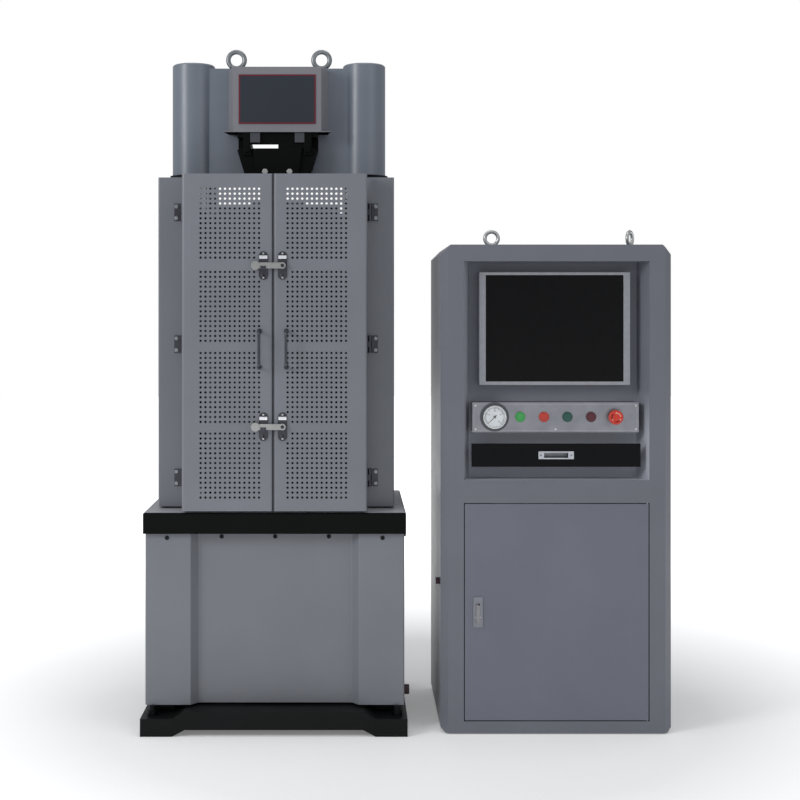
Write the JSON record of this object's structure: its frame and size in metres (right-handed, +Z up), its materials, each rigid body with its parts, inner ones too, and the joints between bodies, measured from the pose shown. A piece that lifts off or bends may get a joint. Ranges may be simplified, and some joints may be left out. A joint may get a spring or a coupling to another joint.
{
  "type": "universal testing machine",
  "caption": "Hydraulic universal testing machine: guarded twin-column load frame on a steel foot, with a separate upright control cabinet.",
  "frame": {"origin": "centre of the bounding box's footprint, on the floor", "axes": "+Z up, front of the machine towards -Y, load frame on the left (-X), control cabinet on the right (+X)"},
  "size_m": [1.497, 0.6, 1.979],
  "materials": {
    "grey_enamel": "satin grey enamel, fine orange peel",
    "casting_grey": "satin grey enamel over casting",
    "black_enamel": "satin black enamel",
    "machined_steel": "turned and ground steel",
    "hard_chrome": "hard chrome",
    "zinc": "bright zinc plate",
    "bronze": "machined bronze",
    "brushed_aluminium": "brushed and clear anodised",
    "black_oxide": "black oxide",
    "black_plastic": "matte",
    "screen_glass": "gloss black",
    "silver_plastic": "metallic silver plastic",
    "green_cap": "gloss",
    "dark_green_cap": "gloss",
    "red_cap": "gloss",
    "dark_red_cap": "gloss",
    "orange_red_cap": "gloss",
    "plate_slate": "satin slate with a dark red line"
  },
  "bodies": {
    "machine_base": {"base_frame": "black_enamel", "leveling_bolts": "zinc", "housing_front": "grey_enamel", "housing_wrap": "grey_enamel", "housing_screws": "zinc", "top_plate": "black_enamel", "main_cylinder": "machined_steel", "crosshead_drive": "black_oxide", "guard_panels": "grey_enamel", "hinge_frames": "black_oxide", "cabinet_shell": "grey_enamel", "recess_tub": "grey_enamel", "monitor": "silver_plastic", "monitor_screen": "screen_glass", "control_panel": "brushed_aluminium", "pressure_gauge": "silver_plastic", "button_bezels": "zinc", "cabinet_fittings": "zinc", "hydraulic_unit": "casting_grey", "cabinet_eyebolts": "zinc"},
    "lifting_frame": {"piston": "hard_chrome", "worktable": "casting_grey", "columns": "hard_chrome", "upper_crosshead": "casting_grey", "name_box": "grey_enamel", "nameplate": "plate_slate", "crosshead_eyebolts": "zinc", "upper_grip_cheeks": "black_enamel", "upper_grip_front": "black_oxide", "lower_platen": "machined_steel"},
    "test_crosshead": {"middle_crosshead": "casting_grey", "crosshead_nuts": "bronze", "lower_grip_cover": "machined_steel", "upper_platen": "machined_steel"},
    "upper_jaw_right_body": {"upper_jaw_right": "machined_steel"},
    "upper_jaw_left_body": {"upper_jaw_left": "machined_steel"},
    "lower_jaw_right_body": {"lower_jaw_right": "machined_steel"},
    "lower_jaw_left_body": {"lower_jaw_left": "machined_steel"},
    "left_screw": {"lead_screw_left": "machined_steel"},
    "right_screw": {"lead_screw_right": "machined_steel"},
    "left_guard_door": {"left_door": "grey_enamel", "left_door_fittings": "zinc", "left_door_handle": "hard_chrome"},
    "right_guard_door": {"right_door": "grey_enamel", "right_door_fittings": "zinc", "right_door_handle": "hard_chrome"},
    "lower_latch": {"lower_latch_arm": "hard_chrome"},
    "upper_latch": {"upper_latch_arm": "hard_chrome"},
    "needle": {"gauge_needle": "black_plastic"},
    "start_cap": {"button_start": "green_cap"},
    "stop_cap": {"button_stop": "red_cap"},
    "pump_on_cap": {"button_pump_on": "dark_green_cap"},
    "pump_off_cap": {"button_pump_off": "dark_red_cap"},
    "emergency_cap": {"emergency_stop": "orange_red_cap"},
    "drawer": {"keyboard_drawer": "black_enamel", "drawer_pull": "brushed_aluminium", "keyboard": "black_plastic"},
    "cabinet_door_body": {"cabinet_door": "grey_enamel", "door_lock": "zinc"},
    "lock_lever_body": {"lock_lever": "hard_chrome"}
  },
  "joints": [
    {"name": "table_lift", "type": "slide", "parent": "machine_base", "child": "lifting_frame", "axis": [0, 0, 1], "range_m": [0, 0.15]},
    {"name": "crosshead_adjust", "type": "slide", "parent": "machine_base", "child": "test_crosshead", "axis": [0, 0, 1], "range_m": [-0.09, 0.06]},
    {"name": "left_screw_turn", "type": "hinge", "parent": "machine_base", "child": "left_screw", "pos_m": [-0.5885, 0.085, 1], "axis": [0, 0, 1], "range_deg": [-1802, 2702]},
    {"name": "right_screw_turn", "type": "hinge", "parent": "machine_base", "child": "right_screw", "pos_m": [-0.1585, -0.085, 1], "axis": [0, 0, 1], "range_deg": [-1802, 2702]},
    {"name": "upper_jaw_right_slide", "type": "slide", "parent": "lifting_frame", "child": "upper_jaw_right_body", "axis": [0.2419, 0, 0.9703], "range_m": [0, 0.016]},
    {"name": "upper_jaw_left_slide", "type": "slide", "parent": "lifting_frame", "child": "upper_jaw_left_body", "axis": [-0.2419, 0, 0.9703], "range_m": [0, 0.016]},
    {"name": "lower_jaw_right_slide", "type": "slide", "parent": "test_crosshead", "child": "lower_jaw_right_body", "axis": [0.2419, 0, -0.9703], "range_m": [0, 0.016]},
    {"name": "lower_jaw_left_slide", "type": "slide", "parent": "test_crosshead", "child": "lower_jaw_left_body", "axis": [-0.2419, 0, -0.9703], "range_m": [0, 0.016]},
    {"name": "left_guard_hinge", "type": "hinge", "parent": "machine_base", "child": "left_guard_door", "pos_m": [-0.6435, -0.1765, 1.1], "axis": [0, 0, 1], "range_deg": [-100, 0]},
    {"name": "right_guard_hinge", "type": "hinge", "parent": "machine_base", "child": "right_guard_door", "pos_m": [-0.1035, -0.1765, 1.1], "axis": [0, 0, 1], "range_deg": [0, 100]},
    {"name": "lower_latch_swing", "type": "hinge", "parent": "right_guard_door", "child": "lower_latch", "pos_m": [-0.3505, -0.275, 0.866], "axis": [0, 1, 0], "range_deg": [0, 90]},
    {"name": "upper_latch_swing", "type": "hinge", "parent": "right_guard_door", "child": "upper_latch", "pos_m": [-0.3505, -0.275, 1.321], "axis": [0, 1, 0], "range_deg": [0, 90]},
    {"name": "needle_turn", "type": "hinge", "parent": "machine_base", "child": "needle", "pos_m": [0.2495, -0.257, 0.8925], "axis": [0, 1, 0], "range_deg": [0, 270]},
    {"name": "start_press", "type": "slide", "parent": "machine_base", "child": "start_cap", "axis": [0, 1, 0], "range_m": [0, 0.0035], "stiffness_N_per_m": 300, "springref_m": -0.002},
    {"name": "stop_press", "type": "slide", "parent": "machine_base", "child": "stop_cap", "axis": [0, 1, 0], "range_m": [0, 0.0035], "stiffness_N_per_m": 300, "springref_m": -0.002},
    {"name": "pump_on_press", "type": "slide", "parent": "machine_base", "child": "pump_on_cap", "axis": [0, 1, 0], "range_m": [0, 0.0035], "stiffness_N_per_m": 300, "springref_m": -0.002},
    {"name": "pump_off_press", "type": "slide", "parent": "machine_base", "child": "pump_off_cap", "axis": [0, 1, 0], "range_m": [0, 0.0035], "stiffness_N_per_m": 300, "springref_m": -0.002},
    {"name": "emergency_press", "type": "slide", "parent": "machine_base", "child": "emergency_cap", "axis": [0, 1, 0], "range_m": [0, 0.004], "stiffness_N_per_m": 500, "springref_m": -0.002},
    {"name": "drawer_slide", "type": "slide", "parent": "machine_base", "child": "drawer", "axis": [0, -1, 0], "range_m": [0, 0.25]},
    {"name": "cabinet_door_hinge", "type": "hinge", "parent": "machine_base", "child": "cabinet_door_body", "pos_m": [0.6783, -0.2705, 0.344], "axis": [0, 0, 1], "range_deg": [0, 110]},
    {"name": "lock_lever_turn", "type": "hinge", "parent": "cabinet_door_body", "child": "lock_lever_body", "pos_m": [0.2005, -0.279, 0.362], "axis": [0, 1, 0], "range_deg": [0, 90]}
  ],
  "couplings": [
    {"joint": "left_screw_turn", "follows": "crosshead_adjust", "rad_per_m": -523.6},
    {"joint": "right_screw_turn", "follows": "crosshead_adjust", "rad_per_m": -523.6},
    {"joint": "upper_jaw_left_slide", "follows": "upper_jaw_right_slide", "ratio": 1},
    {"joint": "lower_jaw_left_slide", "follows": "lower_jaw_right_slide", "ratio": 1}
  ]
}
